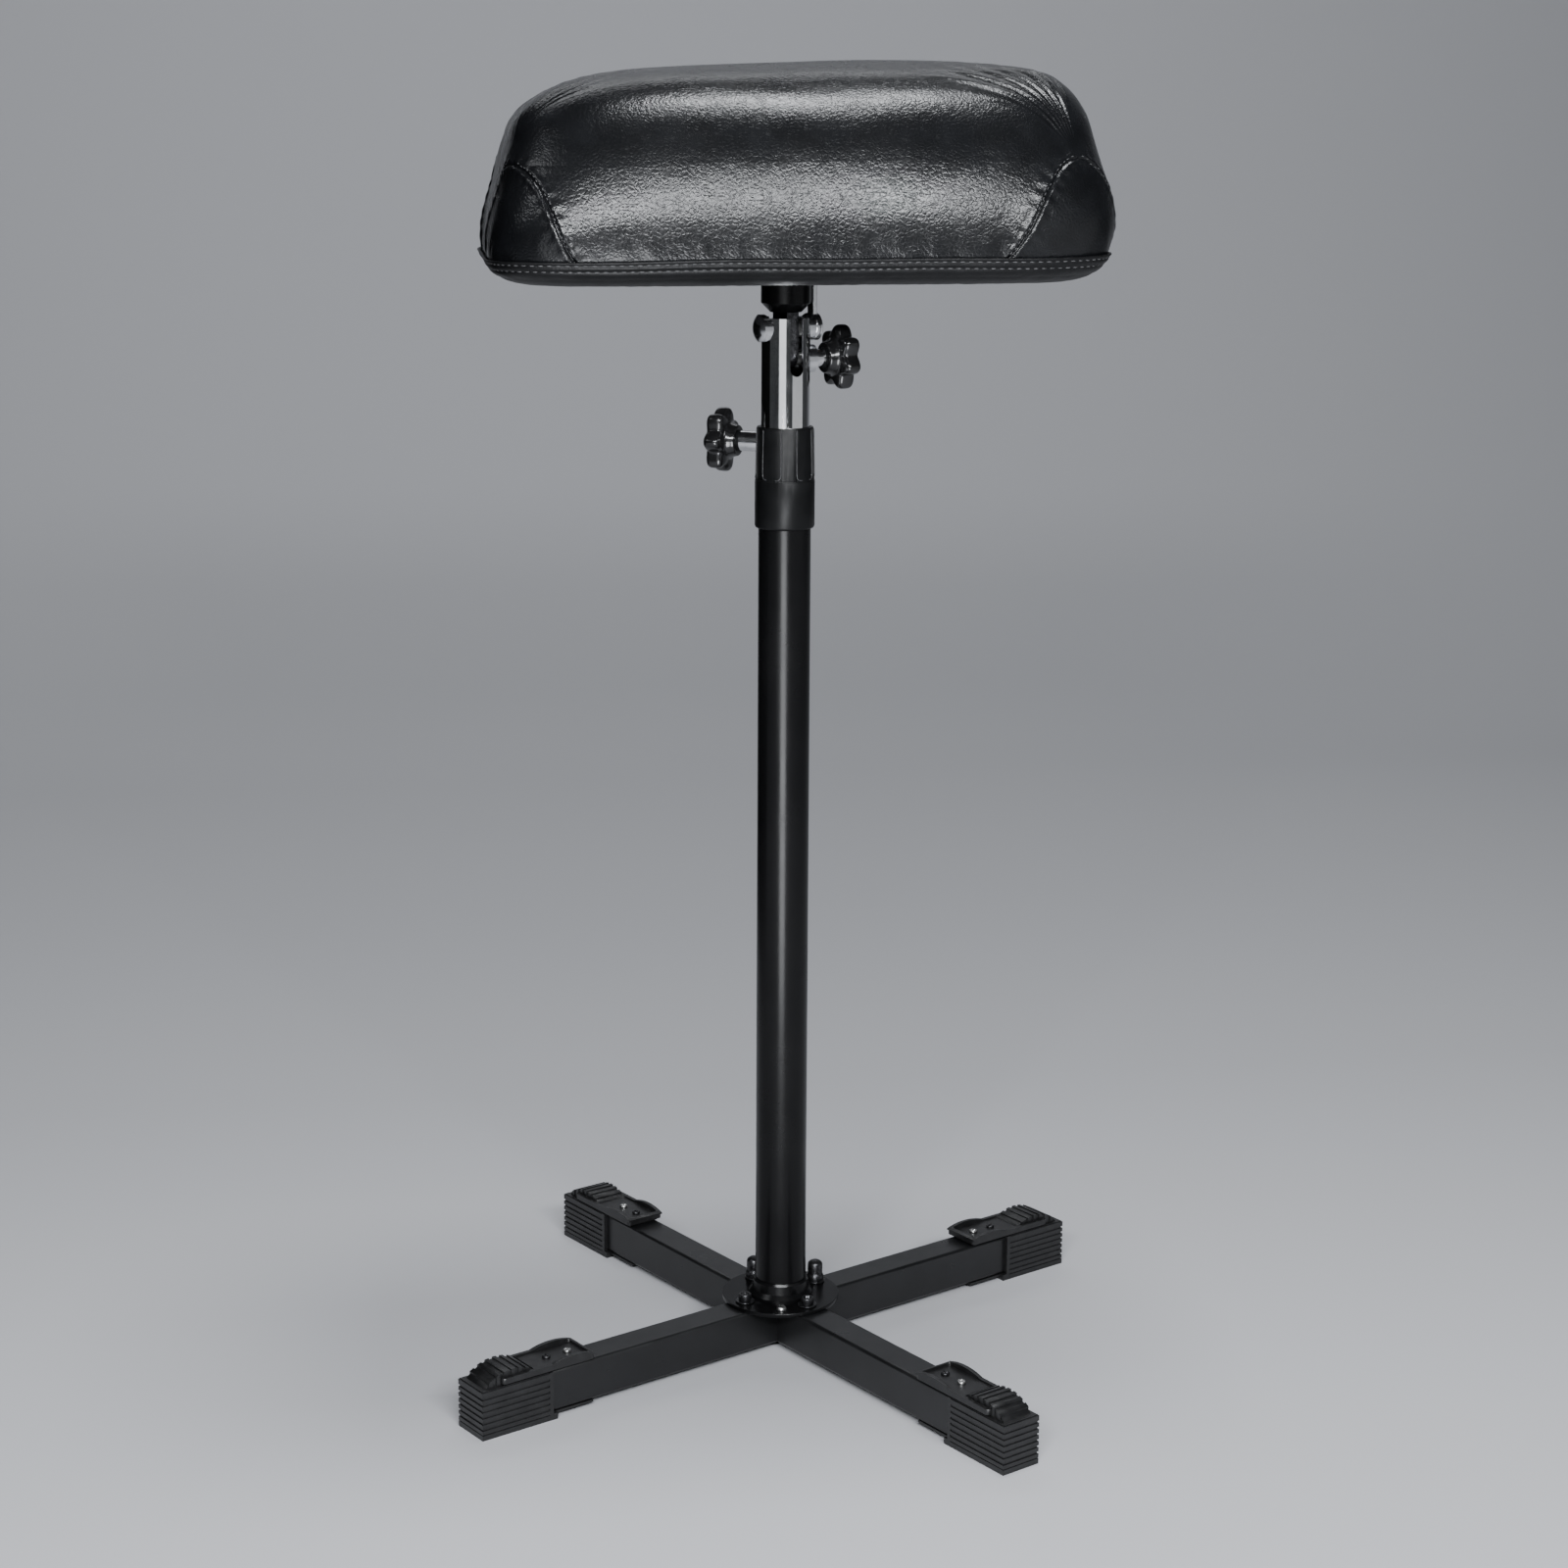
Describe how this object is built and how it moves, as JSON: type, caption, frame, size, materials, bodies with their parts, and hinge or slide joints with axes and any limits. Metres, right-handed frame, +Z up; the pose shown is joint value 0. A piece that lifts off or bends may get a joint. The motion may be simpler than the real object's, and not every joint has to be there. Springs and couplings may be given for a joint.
{
  "type": "tattoo arm rest stand",
  "caption": "Free-standing padded arm rest on a telescopic pole with a cross base, clamped in height and tilt by star knobs.",
  "frame": {"origin": "on the floor, under the pole's axis", "axes": "+Z up along the pole, +X along the pad's long side, -Y the side the front feet and knobs are seen from"},
  "size_m": [0.4162, 0.4162, 0.8033],
  "materials": {
    "black_powder_coat": "satin",
    "black_gloss_paint": "gloss",
    "chrome": "polished",
    "zinc_steel": "satin",
    "steel_blade": "satin",
    "collar_plastic": "satin",
    "knob_plastic": "gloss",
    "foot_plastic": "matte",
    "nylon": "satin",
    "board_wood": "raw",
    "foam": "open cell",
    "black_leather": "soft sheen",
    "under_cloth": "non-woven"
  },
  "bodies": {
    "stand": {"main_leg": "black_powder_coat", "side_leg_front": "black_powder_coat", "side_leg_back": "black_powder_coat", "flange_plate": "black_gloss_paint", "flange_bolts": "zinc_steel", "leg_nuts": "zinc_steel", "pole_socket": "black_gloss_paint", "foot_back_right": "foot_plastic", "foot_back_left": "foot_plastic", "foot_front_left": "foot_plastic", "foot_front_right": "foot_plastic", "foot_screws": "zinc_steel", "outer_pole": "black_gloss_paint", "collar": "collar_plastic", "height_boss": "chrome"},
    "glide": {"glide_bush": "nylon"},
    "mast": {"inner_mast": "chrome", "pivot_bolt": "chrome", "pivot_nut": "chrome", "pivot_seats": "chrome", "pivot_bushes": "zinc_steel", "clamp_boss": "chrome"},
    "head": {"tilt_tongue": "steel_blade", "head_post": "black_gloss_paint", "tilt_strap": "chrome", "head_plate": "black_gloss_paint", "plate_screws": "zinc_steel", "board_nuts": "zinc_steel", "pad_board": "board_wood", "pad_foam": "foam", "pad_cover": "black_leather", "hem_band": "black_leather", "under_cloth": "under_cloth"},
    "height_ring": {"height_washer": "nylon"},
    "height_grip": {"height_knob": "knob_plastic", "height_screw": "zinc_steel"},
    "tilt_ring": {"tilt_washer": "nylon"},
    "tilt_grip": {"tilt_knob": "knob_plastic", "tilt_screw": "zinc_steel"}
  },
  "joints": [
    {"name": "height_slide", "type": "slide", "parent": "stand", "child": "glide", "axis": [0, 0, 1], "range_m": [-0.008, 0.27]},
    {"name": "mast_swivel", "type": "hinge", "parent": "glide", "child": "mast", "pos_m": [0, 0, 0.4], "axis": [0, 0, 1], "continuous": true},
    {"name": "pad_tilt", "type": "hinge", "parent": "mast", "child": "head", "pos_m": [0, 0, 0.646], "axis": [0.9397, 0.342, 0], "range_deg": [-20, 20]},
    {"name": "height_knob_turn", "type": "hinge", "parent": "stand", "child": "height_ring", "pos_m": [0, 0, 0.5765], "axis": [-0.8829, 0.4695, 0], "range_deg": [0, 540]},
    {"name": "height_knob_travel", "type": "slide", "parent": "height_ring", "child": "height_grip", "axis": [-0.8829, 0.4695, 0], "range_m": [0, 0.0019]},
    {"name": "tilt_knob_turn", "type": "hinge", "parent": "mast", "child": "tilt_ring", "pos_m": [0, 0, 0.627], "axis": [0.9397, 0.342, 0], "range_deg": [0, 540]},
    {"name": "tilt_knob_travel", "type": "slide", "parent": "tilt_ring", "child": "tilt_grip", "axis": [0.9397, 0.342, 0], "range_m": [0, 0.0019]}
  ],
  "couplings": [
    {"joint": "height_knob_travel", "follows": "height_knob_turn", "m_per_rad": 0.00019894},
    {"joint": "tilt_knob_travel", "follows": "tilt_knob_turn", "m_per_rad": 0.00019894}
  ]
}
